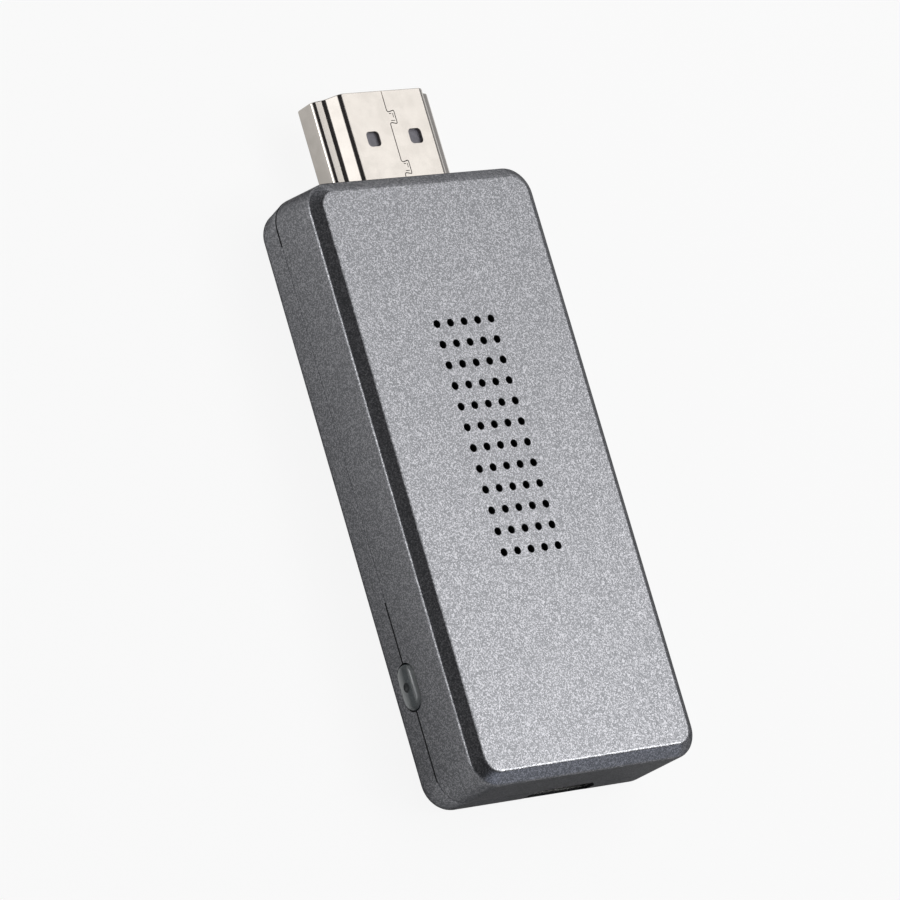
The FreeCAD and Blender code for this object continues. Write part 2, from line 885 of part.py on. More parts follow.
def make_heat_sink():
    """Extruded plate with fins that stand up to the vents."""
    z_low = board_top + processor_height + thermal_pad_thickness
    z_base = z_low + heat_sink_base
    plate = rectangle(heat_sink_size, heat_sink_size, 0.0, (0.0, processor_y))
    pitch = (heat_sink_size - heat_sink_fin) / (heat_sink_fin_count - 1)
    fins = [
        block(
            about((index - (heat_sink_fin_count - 1) / 2) * pitch, heat_sink_fin),
            about(processor_y, heat_sink_size),
            (z_base, z_base + heat_sink_fin_height),
        )
        for index in range(heat_sink_fin_count)
    ]
    return joined([prism(plate, "z", z_low, z_base)] + fins)


def gull_lead(x_body, y, body_height, side):
    """One bent lead, from the side of a body down to the board."""
    top_z = lead_standoff + body_height / 2
    foot_z = lead_sheet / 2
    path = [
        (side * x_body, top_z),
        (side * (x_body + lead_shoulder), top_z),
        (side * (x_body + lead_shoulder + lead_slope), foot_z),
        (side * (x_body + lead_reach), foot_z),
    ]
    low, high = about(y, lead_width)
    return bent_strip(path, lead_sheet, "y", low, high)


def leads_of(body_width, body_height, left_places, right_places):
    """All the leads of one leaded chip."""
    left = [gull_lead(body_width / 2, y, body_height, -1) for y in left_places]
    right = [gull_lead(body_width / 2, y, body_height, 1) for y in right_places]
    return left + right


def flash_place():
    """Centre of the storage chip, under the board."""
    return (flash_x, processor_y + flash_ahead)


def regulator_places():
    """Centres of the two voltage regulators, beside the processor."""
    first_y = processor_y + regulator_ahead
    return [(side_x, first_y), (side_x, first_y + side_part_pitch)]


def make_flash_chip():
    """Storage chip with the start-up program."""
    body = prism(
        rectangle(flash_width, flash_length), "z", lead_standoff, lead_standoff + flash_height
    )
    return under(body, *flash_place())


def make_regulators():
    """Two small voltage regulators."""
    body = prism(
        rectangle(regulator_width, regulator_length),
        "z",
        lead_standoff,
        lead_standoff + regulator_height,
    )
    return group([on_top(body, x, y) for x, y in regulator_places()])


def make_chip_leads():
    """Tinned leads of the storage chip and of both regulators."""
    rows = [(step - (flash_lead_rows - 1) / 2) * flash_lead_pitch for step in range(flash_lead_rows)]
    flash = leads_of(flash_width, flash_height, rows, rows)
    ends = [-regulator_lead_pitch, regulator_lead_pitch]
    regulator = leads_of(regulator_width, regulator_height, ends, ends + [0.0])
    shapes = [under(lead, *flash_place()) for lead in flash]
    for x, y in regulator_places():
        shapes += [on_top(lead, x, y) for lead in regulator]
    return group(shapes)


def make_inductors():
    """Two moulded power inductors."""
    body = prism(
        rectangle(inductor_size, inductor_size, inductor_corner), "z", 0.0, inductor_height
    )
    first_y = processor_y - inductor_behind
    return group([on_top(body, side_x, y) for y in (first_y, first_y - side_part_pitch)])


def make_clock_crystal():
    """Quartz crystal in a seam-welded can."""
    lid_width = crystal_width - 2 * crystal_lid_margin
    lid_length = crystal_length - 2 * crystal_lid_margin
    base = prism(rectangle(crystal_width, crystal_length), "z", 0.0, crystal_height / 2)
    lid = prism(
        rectangle(lid_width, lid_length, crystal_lid_radius),
        "z",
        crystal_height / 2,
        crystal_height,
    )
    return on_top(joined([base, lid]), -side_x, processor_y + side_part_pitch)


def make_radio_board():
    """Small board of the radio module, with half holes along its two sides."""
    board = prism(rectangle(radio_width, radio_length), "z", 0.0, radio_board_thickness)
    z_range = (-radio_board_thickness, 2 * radio_board_thickness)
    notches = [
        small_hole(half_hole_diameter, x, (index - (half_hole_count - 1) / 2) * half_hole_pitch, z_range)
        for x in about(0.0, radio_width)
        for index in range(half_hole_count)
    ]
    return on_top(board.cut(notches), radio_x, radio_y)


def shield_y():
    """Middle of the shield, at the end of the radio board nearer the plug."""
    return radio_y + (radio_length - shield_length) / 2 - shield_rim / 2


def make_radio_shield():
    """Drawn steel can over the radio circuit."""
    width = radio_width - 2 * shield_rim
    low = board_top + radio_board_thickness
    high = low + shield_height
    walls = rectangle(width, shield_length, shield_corner_radius, (radio_x, shield_y()))
    inside = prism(walls, "z", low, high - shield_sheet, -shield_sheet)
    return prism(walls, "z", low, high).cut(inside)


def make_radio_chip():
    """Radio chip under the shield."""
    chip = rectangle(radio_chip_size, radio_chip_size, 0.0, (radio_x, shield_y()))
    low = board_top + radio_board_thickness
    return prism(chip, "z", low, low + radio_chip_height)


def make_chip_antenna():
    """Ceramic aerial at the free end of the radio board."""
    y = radio_y - radio_length / 2 + antenna_from_end
    body = rectangle(antenna_length, antenna_width, 0.0, (radio_x, y))
    low = board_top + radio_board_thickness
    return prism(body, "z", low, low + antenna_height)


def make_protection_arrays():
    """Surge protection arrays in the signal lines, behind the plug's tails."""
    y = board_notch_y - contact_tail - array_length
    body = prism(rectangle(array_width, array_length), "z", 0.0, array_height)
    return group(
        [
            on_top(body, plug_x + (index - (array_count - 1) / 2) * array_pitch, y)
            for index in range(array_count)
        ]
    )


def small_part_row(height, x, y, count):
    """A row of like small parts, side by side across the board."""
    body = prism(rectangle(small_part_width, small_part_length), "z", 0.0, height)
    return [
        on_top(body, x + (index - (count - 1) / 2) * small_part_pitch, y)
        for index in range(count)
    ]


def make_capacitors():
    """Ceramic capacitors: two rows by the processor and two larger ones near the socket."""
    column = []
    body = prism(rectangle(small_part_length, small_part_width), "z", 0.0, capacitor_height)
    for index in range(small_parts_in_row):
        y = processor_y + (index - small_parts_in_row + 1) * small_part_pitch
        column.append(on_top(body, -side_x, y))
    front = small_part_row(capacitor_height, 0.0, front_row_y, small_parts_in_row)
    large = prism(
        rectangle(bulk_capacitor_width, bulk_capacitor_length), "z", 0.0, bulk_capacitor_width
    )
    pair = [on_top(large, x, near_boss_y) for x in about(0.0, bulk_capacitor_spacing)]
    return group(column + front + pair)


def make_resistors():
    """Resistors in one row between the memory and the plug's tails."""
    y = processor_y + processor_size / 2 + 2 * chip_gap + memory_length
    return group(small_part_row(resistor_height, 0.0, y, small_parts_in_row + 1))


def make_status_lamp():
    """Small lamp beside the button notch, which shines through the clear cap."""
    lens = prism(rectangle(lamp_width, lamp_length, lamp_corner), "z", 0.0, lamp_height)
    return on_top(lens, button_notch_x + lamp_width, button_y)


pieces = {
    "upper_housing": make_upper_housing,
    "lower_housing": make_lower_housing,
    "side_button": make_side_button,
    "switch_plunger": make_switch_plunger,
    "switch_spring": make_switch_spring,
    "switch_base": make_switch_base,
    "switch_cover": make_switch_cover,
    "plug_shell": make_plug_shell,
    "plug_insulator": make_plug_insulator,
    "plug_upper_contacts": make_plug_upper_contacts,
    "plug_lower_contacts": make_plug_lower_contacts,
    "power_socket_shell": make_power_socket_shell,
    "power_socket_insulator": make_power_socket_insulator,
    "power_socket_contacts": make_power_socket_contacts,
    "main_board": make_main_board,
    "processor": make_processor,
    "memory_chip": make_memory_chip,
    "thermal_pad": make_thermal_pad,
    "heat_sink": make_heat_sink,
    "flash_chip": make_flash_chip,
    "regulators": make_regulators,
    "chip_leads": make_chip_leads,
    "inductors": make_inductors,
    "clock_crystal": make_clock_crystal,
    "radio_board": make_radio_board,
    "radio_shield": make_radio_shield,
    "radio_chip": make_radio_chip,
    "chip_antenna": make_chip_antenna,
    "protection_arrays": make_protection_arrays,
    "capacitors": make_capacitors,
    "resistors": make_resistors,
    "status_lamp": make_status_lamp,
}

os.makedirs("parts", exist_ok=True)
for name, make in pieces.items():
    shape = make()
    if not shape.isValid():
        raise ValueError(name + " is not a valid shape")
    shape.exportStep("parts/" + name + ".step")
    print(name, len(shape.Solids), "solid(s)", round(shape.Volume, 2), "mm3")
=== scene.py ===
import math

import bmesh
import bpy
from mathutils import Matrix, Quaternion, Vector


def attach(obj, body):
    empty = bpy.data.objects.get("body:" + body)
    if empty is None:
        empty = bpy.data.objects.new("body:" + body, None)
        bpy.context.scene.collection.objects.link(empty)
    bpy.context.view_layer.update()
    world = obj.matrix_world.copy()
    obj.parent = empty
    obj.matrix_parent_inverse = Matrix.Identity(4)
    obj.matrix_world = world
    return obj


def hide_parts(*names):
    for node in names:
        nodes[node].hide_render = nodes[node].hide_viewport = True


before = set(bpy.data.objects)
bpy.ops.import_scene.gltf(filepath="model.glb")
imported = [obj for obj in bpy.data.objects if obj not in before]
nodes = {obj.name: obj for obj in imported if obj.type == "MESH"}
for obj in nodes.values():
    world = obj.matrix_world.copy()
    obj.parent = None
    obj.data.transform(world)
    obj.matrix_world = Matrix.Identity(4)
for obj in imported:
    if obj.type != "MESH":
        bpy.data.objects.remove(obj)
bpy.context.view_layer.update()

# Lower housing: a shallow tray moulded in dark ABS and sprayed with metallic grey paint
# on the outside. Its base edge is rounded, and a thin lip with six snap ridges stands up
# inside the cover. Bosses and guides inside hold the board and the button.
mm = 0.001
half_width, half_length = 13.2 * mm, 29.1 * mm
corner_radius, base_radius = 2.75 * mm, 1.0 * mm
wall, floor = 1.3 * mm, 1.1 * mm
parting, seam_bevel = 3.0 * mm, 0.1 * mm
draft, draft_start = 0.42 * mm, 20 * mm
dark_seam_start, dark_seam_end, plug_end_seam = -26.8 * mm, -9.6 * mm, 25 * mm


def linear(code):
    """An sRGB hex colour as the linear values that a shader takes."""
    parts = [int(code[start:start + 2], 16) / 255 for start in (1, 3, 5)]
    return [c / 12.92 if c <= 0.04045 else ((c + 0.055) / 1.055) ** 2.4 for c in parts] + [1.0]


def add(tree, kind, settings={}, links={}):
    """Adds a shader node with its settings and with links into its sockets."""
    node = tree.nodes.new(kind)
    for name, value in settings.items():
        if name == "stops":
            for stop, (position, code) in zip(node.color_ramp.elements, value):
                stop.position, stop.color = position, linear(code)
        elif hasattr(node, name):
            setattr(node, name, value)
        else:
            node.inputs[name].default_value = value
    for name, source in links.items():
        tree.links.new(source, node.inputs[name])
    return node


def finish(name, tones, grain, relief, roughness, **settings):
    """A finish whose colour, gloss and relief all wander at the size of its grain."""
    material = bpy.data.materials.new(name)
    material.use_nodes = True
    tree = material.node_tree
    shader = tree.nodes["Principled BSDF"]
    place = add(tree, "ShaderNodeTexCoord").outputs["Object"]
    grit = add(tree, "ShaderNodeTexNoise", {"Scale": 1 / grain, "Detail": 3}, {"Vector": place})
    worn = grit.outputs["Fac"]
    tint = add(tree, "ShaderNodeValToRGB", {"stops": zip((0.35, 0.65), tones)}, {"Fac": worn})
    gloss = add(
        tree, "ShaderNodeMapRange",
        {"To Min": roughness[0], "To Max": roughness[1]}, {"Value": worn},
    )
    bump = add(tree, "ShaderNodeBump", {"Distance": relief}, {"Height": worn})
    tree.links.new(tint.outputs["Color"], shader.inputs["Base Color"])
    tree.links.new(gloss.outputs["Result"], shader.inputs["Roughness"])
    tree.links.new(bump.outputs["Normal"], shader.inputs["Normal"])
    for socket, value in settings.items():
        shader.inputs[socket.replace("_", " ")].default_value = value
    return material


# Moulded ABS, left bare inside: dull and nearly black, with a faint spark-eroded grain.
# In the dark stretches of the parting groove it also stands as painted shade of a gap.
bare_abs_and_seam_shade = finish(
    "moulded_abs", ("#161719", "#1F2022"), 0.3 * mm, 0.004 * mm, (0.55, 0.68),
    Specular_IOR_Level=0.2,
)

# Sprayed metallic paint: aluminium flakes in a satin grey coat. The flakes lie at slightly
# different angles, so the eye sees a fine sparkle. Each flake also gets a random grey, paler
# for some, which paints glints into that sparkle. Real flakes are 0.02 to 0.05 mm; they
# are drawn at 0.1 mm so that they show. A slow waviness is the spray's orange peel.
flake_size, flake_lean = 0.1 * mm, 0.065
peel_size, peel_relief = 1.1 * mm, 0.006 * mm
metallic_paint = finish(
    "sprayed_metallic_paint", ("#8E9095", "#96989D"), 4 * mm, 0, (0.27, 0.31), Metallic=0.92,
    Specular_Tint=linear("#808080"),
)
tree = metallic_paint.node_tree
shader = tree.nodes["Principled BSDF"]
place = add(tree, "ShaderNodeTexCoord").outputs["Object"]
flakes = add(tree, "ShaderNodeTexVoronoi", {"Scale": 1 / flake_size}, {"Vector": place})
chance = add(tree, "ShaderNodeTexWhiteNoise", {}, {"Vector": flakes.outputs["Color"]})
# Partly painted glints: each flake's grey is drawn at random, and some are far paler.
flake_tone_and_painted_glints = add(
    tree, "ShaderNodeValToRGB", {"stops": ((0.4, "#757679"), (1.0, "#AFAFB3"))},
    {"Fac": chance.outputs["Value"]},
)
tree.links.new(flake_tone_and_painted_glints.outputs["Color"], shader.inputs["Base Color"])
peel = add(tree, "ShaderNodeTexNoise", {"Scale": 1 / peel_size, "Detail": 1}, {"Vector": place})
waves = add(tree, "ShaderNodeBump", {"Distance": peel_relief}, {"Height": peel.outputs["Fac"]})
lean = add(
    tree, "ShaderNodeVectorMath", {"operation": "SUBTRACT"}, {0: flakes.outputs["Color"]}
)
lean.inputs[1].default_value = (0.5, 0.5, 0.5)
tilt = add(
    tree, "ShaderNodeVectorMath", {"operation": "SCALE", "Scale": flake_lean},
    {0: lean.outputs[0]},
)
tilted = add(
    tree, "ShaderNodeVectorMath", {"operation": "ADD"},
    {0: waves.outputs["Normal"], 1: tilt.outputs[0]},
)
facing = add(
    tree, "ShaderNodeVectorMath", {"operation": "NORMALIZE"}, {0: tilted.outputs[0]}
)
tree.links.new(facing.outputs[0], shader.inputs["Normal"])


def rectangle(across, along, radius, centre=(0, 0)):
    """Corners (x, y, radius) of a rectangle about a centre."""
    x, y = centre
    signs = ((1, -1), (1, 1), (-1, 1), (-1, -1))
    return [(x + i * across / 2, y + j * along / 2, radius) for i, j in signs]


def flat_shape(corners, steps, height=0):
    """A flat face from a few corners (x, y, radius), each rounded by its radius."""
    bm = bmesh.new()
    points = [bm.verts.new((x, y, height)) for x, y, radius in corners]
    bm.faces.new(points)
    for vert, (x, y, radius) in zip(points, corners):
        sides = [edge.other_vert(vert).co - vert.co for edge in vert.link_edges]
        reach = radius / math.tan(sides[0].angle(sides[1]) / 2)
        bmesh.ops.bevel(
            bm, geom=[vert], offset=reach, offset_type="OFFSET", segments=steps,
            profile=0.5, affect="VERTICES", material=-1,
        )
    bmesh.ops.remove_doubles(bm, verts=bm.verts, dist=0.0005 * mm)
    bm.faces.ensure_lookup_table()
    return bm


def draw_out(bm, faces, height):
    """Extrudes faces upwards by a height and returns the ones that moved."""
    edges = {edge for face in faces for edge in face.edges}
    moved = bmesh.ops.extrude_face_region(bm, geom=[*faces, *edges])["geom"]
    verts = [part for part in moved if isinstance(part, bmesh.types.BMVert)]
    bmesh.ops.translate(bm, vec=(0, 0, height), verts=verts)
    bmesh.ops.recalc_face_normals(bm, faces=bm.faces)
    return [part for part in moved if isinstance(part, bmesh.types.BMFace)]


def face_at(bm, height):
    """The widest face that lies flat at one height, in a list."""
    level = [
        face for face in bm.faces
        if all(abs(vert.co.z - height) < 0.001 * mm for vert in face.verts)
    ]
    return [max(level, key=lambda face: face.calc_area())]


def step_in(bm, faces, distance):
    """Insets faces by an even distance, which leaves a flat rim round them."""
    bmesh.ops.inset_region(bm, faces=faces, thickness=distance, use_even_offset=True)
    return faces


def round_off(bm, height, distance, steps):
    """Rounds the sharp edges that lie flat at one height."""
    level = [
        edge for edge in bm.edges
        if all(abs(vert.co.z - height) < 0.001 * mm for vert in edge.verts)
        and edge.calc_face_angle(0) > math.radians(30)
    ]
    bmesh.ops.bevel(
        bm, geom=level, offset=distance, offset_type="OFFSET", segments=steps,
        profile=0.5, affect="EDGES", material=-1,
    )


def make_piece(bm, name, *materials):
    """Closes a mesh into a piece with those materials."""
    bmesh.ops.recalc_face_normals(bm, faces=bm.faces)
    mesh = bpy.data.meshes.new(name)
    bm.to_mesh(mesh)
    bm.free()
    for material in materials:
        mesh.materials.append(material)
    piece = bpy.data.objects.new(name, mesh)
    bpy.context.scene.collection.objects.link(piece)
    return piece


def combine(piece, others, operation):
    """Cuts other shapes out of a piece, or welds them to it, and removes them."""
    for other in others:
        cut = piece.modifiers.new("cut", "BOOLEAN")
        cut.operation, cut.solver, cut.object = operation, "EXACT", other
    depsgraph = bpy.context.evaluated_depsgraph_get()
    piece_mesh = bpy.data.meshes.new_from_object(piece.evaluated_get(depsgraph))
    piece.modifiers.clear()
    piece.data = piece_mesh
    for other in others:
        bpy.data.objects.remove(other)


def add_inside(piece, bm):
    """Adds mouldings that stand inside a piece, in its second material."""
    for face in bm.faces:
        face.material_index = 1
    bmesh.ops.recalc_face_normals(bm, faces=bm.faces)
    bm.from_mesh(piece.data)
    bm.to_mesh(piece.data)
    bm.free()


def shade(piece):
    """Smooth shading that keeps flat faces flat and corners sharp."""
    piece.data.shade_smooth()
    piece.data.set_sharp_from_angle(angle=math.radians(35))
    even = piece.modifiers.new("even_shading", "WEIGHTED_NORMAL")
    even.keep_sharp = True


def widen_plug_end(bm):
    """The mould's draft: the plug end stands out furthest at the parting line."""
    for vert in bm.verts:
        if abs(vert.co.z - parting) < 2 * seam_bevel and vert.co.y > draft_start:
            vert.co.y += draft * (vert.co.y - draft_start) / (half_length - draft_start)


def close_seam(bm):
    """The halves meet so tightly that the paint runs over their edges, except beside the
    button and at the plug end. There the groove keeps the dark bare moulding as a dark line,
    partly painted shade of the gap between the halves."""
    for y in (dark_seam_start, dark_seam_end, plug_end_seam):
        bmesh.ops.bisect_plane(
            bm, geom=bm.verts[:] + bm.edges[:] + bm.faces[:], plane_co=(0, y, 0),
            plane_no=(0, 1, 0),
        )
    for face in bm.faces:
        middle = face.calc_center_median()
        sloping = abs(face.normal.z) < 0.99 and abs(middle.z - parting) < seam_bevel
        by_button = middle.x < 0 and dark_seam_start < middle.y < dark_seam_end
        if sloping and middle.y < plug_end_seam and not by_button:
            face.material_index = 0


def upright_bar(bm, radius, x, y, low, high, sides=32):
    """Adds an upright round bar."""
    return bmesh.ops.create_cone(
        bm, cap_ends=True, segments=sides, radius1=radius, radius2=radius,
        depth=high - low, matrix=Matrix.Translation((x, y, (low + high) / 2)),
    )["verts"]


def bar(bm, low, high):
    """Adds a square bar between two corners."""
    low, high = Vector(low), Vector(high)
    size = Matrix.Diagonal((*(high - low), 1))
    bmesh.ops.create_cube(bm, size=1, matrix=Matrix.Translation((low + high) / 2) @ size)


def snap_bars(bm, radius, length):
    """Adds six wedge bars along both sides, for the ridges or for their grooves."""
    along_side = Matrix.Rotation(math.radians(90), 4, "X")
    snap_x, snap_z = 12.45 * mm, 3.41 * mm
    for y in (-8.0 * mm, 4.0 * mm, 16.0 * mm):
        for x in (-snap_x, snap_x):
            bmesh.ops.create_cone(
                bm, cap_ends=True, segments=4, radius1=radius, radius2=radius, depth=length,
                matrix=Matrix.Translation((x, y, snap_z)) @ along_side,
            )


outline = rectangle(2 * half_width, 2 * half_length, corner_radius)
corner_steps = 20
tray = flat_shape(outline, corner_steps)
draw_out(tray, tray.faces[:], parting)
round_off(tray, 0, base_radius, 8)
round_off(tray, parting, seam_bevel, 2)
widen_plug_end(tray)
lip_inset, lip_rise = 0.75 * mm, 0.7 * mm
top = face_at(tray, parting)
outer_faces = set(tray.faces) - set(top)
step_in(tray, top, lip_inset - seam_bevel)
top = draw_out(tray, top, lip_rise)
step_in(tray, top, wall - lip_inset)
top = draw_out(tray, top, floor - parting - lip_rise)
# Inside faces and the parting groove take the bare dark moulding; in the groove this is partly
# painted shade.
for face in tray.faces:
    painted = face in outer_faces and face.calc_center_median().z < parting - seam_bevel
    face.material_index = 0 if painted else 1
close_seam(tray)
tray = make_piece(tray, "tray_moulding", metallic_paint, bare_abs_and_seam_shade)

plug_x, plug_z = 0.25 * mm, 4.6 * mm
plug_width, plug_height = 13.9 * mm, 4.45 * mm
plug_low, plug_top = plug_z - plug_height / 2, plug_z + plug_height / 2
plug_tip, plug_rear, plug_sheet = 38.15 * mm, 23.6 * mm, 0.3 * mm
socket_x, socket_low, socket_height = 1.3 * mm, 0.8 * mm, 2.35 * mm
button_y, button_z = -17.72 * mm, 3.0 * mm
button_length, button_height, button_front = 4.45 * mm, 2.5 * mm, 13.55 * mm


def mirrored(right, centre, low):
    """A symmetrical outline from its right half's corners (x, y, radius in mm), from below."""
    left = [(-x, y, radius) for x, y, radius in reversed(right)]
    return [(centre + x * mm, low + y * mm, radius * mm) for x, y, radius in right + left]


def plug_shape(steps):
    """The display plug's section: a wide foot, sloping shoulders and a narrow face."""
    right = [(6.95, 0, 0.5), (6.95, 2.55, 0.65), (5.8, 3.0, 0.8), (4.8, 4.45, 0.8)]
    return flat_shape(mirrored(right, plug_x, plug_low), steps)


def socket_shape(steps):
    """The power socket's section, narrower towards the board."""
    right = [(3.75, 0, 0.3), (3.75, 1.25, 0.15), (2.75, 2.35, 0.3)]
    return flat_shape(mirrored(right, socket_x, socket_low), steps)


def button_shape(rim, height, steps=14):
    """The button's oblong section with a rim all round, before it is turned outwards."""
    across, along = button_height + 2 * rim, button_length + 2 * rim
    shape = rectangle(across, along, across / 2 - 0.0001 * mm, (button_z, button_y))
    return flat_shape(shape, steps, height)


stand_up = Matrix.Rotation(math.radians(90), 3, "X")
turn_outwards = Matrix.Rotation(math.radians(-90), 3, "Y")


def wall_openings():
    """Cutters for the openings of the plug, the socket and the button."""
    depth, plug_room, socket_growth = 3 * mm, 0.2 * mm, (1.032, 1.1, 1)
    button_room, button_inner, button_depth = 0.07 * mm, half_width - 1.35 * mm, 2.5 * mm
    plug_outer, socket_inner = half_length + 1 * mm, 1.9 * mm - half_length
    plug = plug_shape(6)
    centre = Matrix.Translation((-plug_x, -plug_z, 0))
    room = ((plug_width + plug_room) / plug_width, (plug_height + plug_room) / plug_height, 1)
    bmesh.ops.scale(plug, vec=room, space=centre, verts=plug.verts)
    draw_out(plug, plug.faces[:], depth)
    bmesh.ops.rotate(plug, matrix=stand_up, verts=plug.verts)
    bmesh.ops.translate(plug, vec=(0, plug_outer, 0), verts=plug.verts)
    socket = socket_shape(4)
    centre = Matrix.Translation((-socket_x, -socket_low - socket_height / 2, 0))
    bmesh.ops.scale(socket, vec=socket_growth, space=centre, verts=socket.verts)
    draw_out(socket, socket.faces[:], depth)
    bmesh.ops.rotate(socket, matrix=stand_up, verts=socket.verts)
    bmesh.ops.translate(socket, vec=(0, socket_inner, 0), verts=socket.verts)
    button = button_shape(button_room, button_inner)
    draw_out(button, button.faces[:], button_depth)
    bmesh.ops.rotate(button, matrix=turn_outwards, verts=button.verts)
    shapes = {"plug": plug, "socket": socket, "button": button}
    for bm in (plug, socket):
        for face in bm.faces:
            face.material_index = 1
    return [
        make_piece(bm, name + "_opening", metallic_paint, bare_abs_and_seam_shade)
        for name, bm in shapes.items()
    ]


pocket_reach, pocket_near, pocket_far = 3.87 * mm, -27.8 * mm, -23.53 * mm
pocket = bmesh.new()
bar(
    pocket, (socket_x - pocket_reach, pocket_near, socket_low - 0.12 * mm),
    (socket_x + pocket_reach, pocket_far, socket_low + 0.6 * mm),
)
for face in pocket.faces:
    face.material_index = 1
pocket = make_piece(pocket, "socket_pocket", metallic_paint, bare_abs_and_seam_shade)
combine(tray, wall_openings() + [pocket], "DIFFERENCE")

board_low, board_high = 3.15 * mm, 4.15 * mm
boss_x, boss_places = 9.4 * mm, (-24.6 * mm, 16.0 * mm)
boss_radius, pin_radius, pin_rise = 1.2 * mm, 0.55 * mm, 0.6 * mm
rib_near, rib_far, rib_reach = 25.2 * mm, 26.0 * mm, 5.8 * mm
guide_gap, guide_wall = 3.275 * mm, 0.4 * mm
guide_outer, guide_inner = -12.5 * mm, -10.05 * mm
snap_radius, snap_length = 0.2 * mm, 4.0 * mm
sunk = floor - 0.5 * mm
inside = bmesh.new()
for x in (-boss_x, boss_x):
    for y in boss_places:
        upright_bar(inside, boss_radius, x, y, sunk, board_low)
        upright_bar(inside, pin_radius, x, y, board_low, board_high + pin_rise, 24)
snap_bars(inside, snap_radius, snap_length)
bar(inside, (plug_x - rib_reach, rib_near, sunk), (plug_x + rib_reach, rib_far, plug_low))
for y in (button_y - guide_gap, button_y + guide_gap):
    bar(inside, (guide_outer, y - guide_wall, sunk), (guide_inner, y + guide_wall, parting))
add_inside(tray, inside)
shade(tray)
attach(tray, "housing")
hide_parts("lower_housing")

# Boards: glass-fibre laminate with green solder mask over copper tracks. The main board is
# cut with notches for the plug and the button, and sits on the tray's four bosses. The
# small radio board is soldered on it, with half holes along its sides.


def dress(material, *names):
    """Gives CAD nodes a material."""
    for name in names:
        for slot in nodes[name].material_slots:
            slot.material = material


# Solder mask: glossy lacquer, darker where no copper lies under it, so that the tracks
# show as paler right-angled paths about 0.25 mm wide.
track_spacing = 2.4 * mm
solder_mask = finish(
    "solder_mask", ("#12442C", "#174F34"), 0.4 * mm, 0.004 * mm, (0.24, 0.34),
    Coat_Weight=0.3, Coat_Roughness=0.1,
)
tree = solder_mask.node_tree
place = add(tree, "ShaderNodeTexCoord").outputs["Object"]
tracks = add(
    tree, "ShaderNodeTexVoronoi",
    {"distance": "MANHATTAN", "feature": "DISTANCE_TO_EDGE", "Scale": 1 / track_spacing},
    {"Vector": place},
)
copper = add(
    tree, "ShaderNodeValToRGB", {"stops": ((0.04, "#2B7A4E"), (0.06, "#12442C"))},
    {"Fac": tracks.outputs["Distance"]},
)
tree.links.new(copper.outputs["Color"], tree.nodes["Principled BSDF"].inputs["Base Color"])
dress(solder_mask, "main_board", "radio_board")

# Chips: each is a silicon die moulded into epoxy, on solder balls, flat pads or bent leads.
# The epoxy is charcoal grey and dull, with the fine grit of its filler.
moulded_epoxy = finish(
    "moulded_epoxy", ("#17181A", "#222326"), 0.12 * mm, 0.004 * mm, (0.5, 0.65)
)
dress(
    moulded_epoxy,
    "processor", "memory_chip", "flash_chip", "regulators", "radio_chip", "protection_arrays",
)

# Thermal pad: a soft sheet that carries heat from the processor to its heat sink. It is
# silicone rubber filled with alumina, soft pale blue-grey and quite matt.
silicone_pad = finish(
    "filled_silicone", ("#8C98A6", "#9DA8B4"), 0.25 * mm, 0.01 * mm, (0.7, 0.85)
)
dress(silicone_pad, "thermal_pad")

# Heat sink: a plate with fins that stand up to the cooling holes. It is cut from extruded
# aluminium and left as drawn, pale and silvery with a fine soft mottle.
drawn_aluminium = finish(
    "drawn_aluminium", ("#B9BBBD", "#C9CBCD"), 0.2 * mm, 0.003 * mm, (0.28, 0.38), Metallic=1
)
dress(drawn_aluminium, "heat_sink")

# Chip leads: bent copper strips that hold the flash chip and the regulators to the board.
# They are tinned, which gives a soft grey-white metal with the slight mottle of dipped tin.
tinned_copper = finish(
    "tinned_copper", ("#B8B9B8", "#CFCFCD"), 0.15 * mm, 0.003 * mm, (0.2, 0.34), Metallic=1
)
dress(tinned_copper, "chip_leads")

# Inductors: two square blocks with a coil inside, soldered flat on the board. They are
# sintered ferrite, a dense dark grey ceramic with a dry, slightly speckled surface.
sintered_ferrite = finish(
    "sintered_ferrite", ("#2A2B2D", "#3B3C3E"), 0.1 * mm, 0.006 * mm, (0.55, 0.7)
)
dress(sintered_ferrite, "inductors")

# Clock crystal: a quartz plate in a seam-welded can, soldered flat on the board. The can is
# nickel-plated, even and warm, with a satin roll finish.
rolled_nickel = finish(
    "rolled_nickel", ("#BDB7AC", "#CBC5BA"), 0.3 * mm, 0.002 * mm, (0.22, 0.3), Metallic=1
)
dress(rolled_nickel, "clock_crystal")

# Radio shield: a can drawn from nickel silver sheet and soldered over the radio chip. It is
# greyer than plate, with a drawn, slightly wavy skin.
nickel_silver = finish(
    "nickel_silver", ("#ABA89F", "#BBB8AF"), 0.6 * mm, 0.004 * mm, (0.24, 0.36), Metallic=1
)
dress(nickel_silver, "radio_shield")

# Aerial: a ceramic block with its track fired inside, at the free end of the radio board.
# The ceramic is glazed, chalky white with a thin glassy skin.
glazed_ceramic = finish(
    "glazed_ceramic", ("#DCDAD2", "#E8E6DF"), 0.3 * mm, 0.002 * mm, (0.25, 0.35)
)
dress(glazed_ceramic, "chip_antenna")

# Capacitors: ceramic fired in layers and soldered flat, in rows by the processor and as two
# larger ones near the socket. The ceramic is a matt biscuit brown with darker specks.
fired_ceramic = finish(
    "fired_ceramic", ("#9A7A58", "#B08E69"), 0.08 * mm, 0.003 * mm, (0.45, 0.6)
)
dress(fired_ceramic, "capacitors")

# Resistors: a film of resistor glass printed over alumina, in one row between the memory and
# the plug. The glass is black and faintly glossy.
resistor_glass = finish(
    "resistor_glass", ("#101113", "#1C1D20"), 0.1 * mm, 0.002 * mm, (0.25, 0.4)
)
dress(resistor_glass, "resistors")

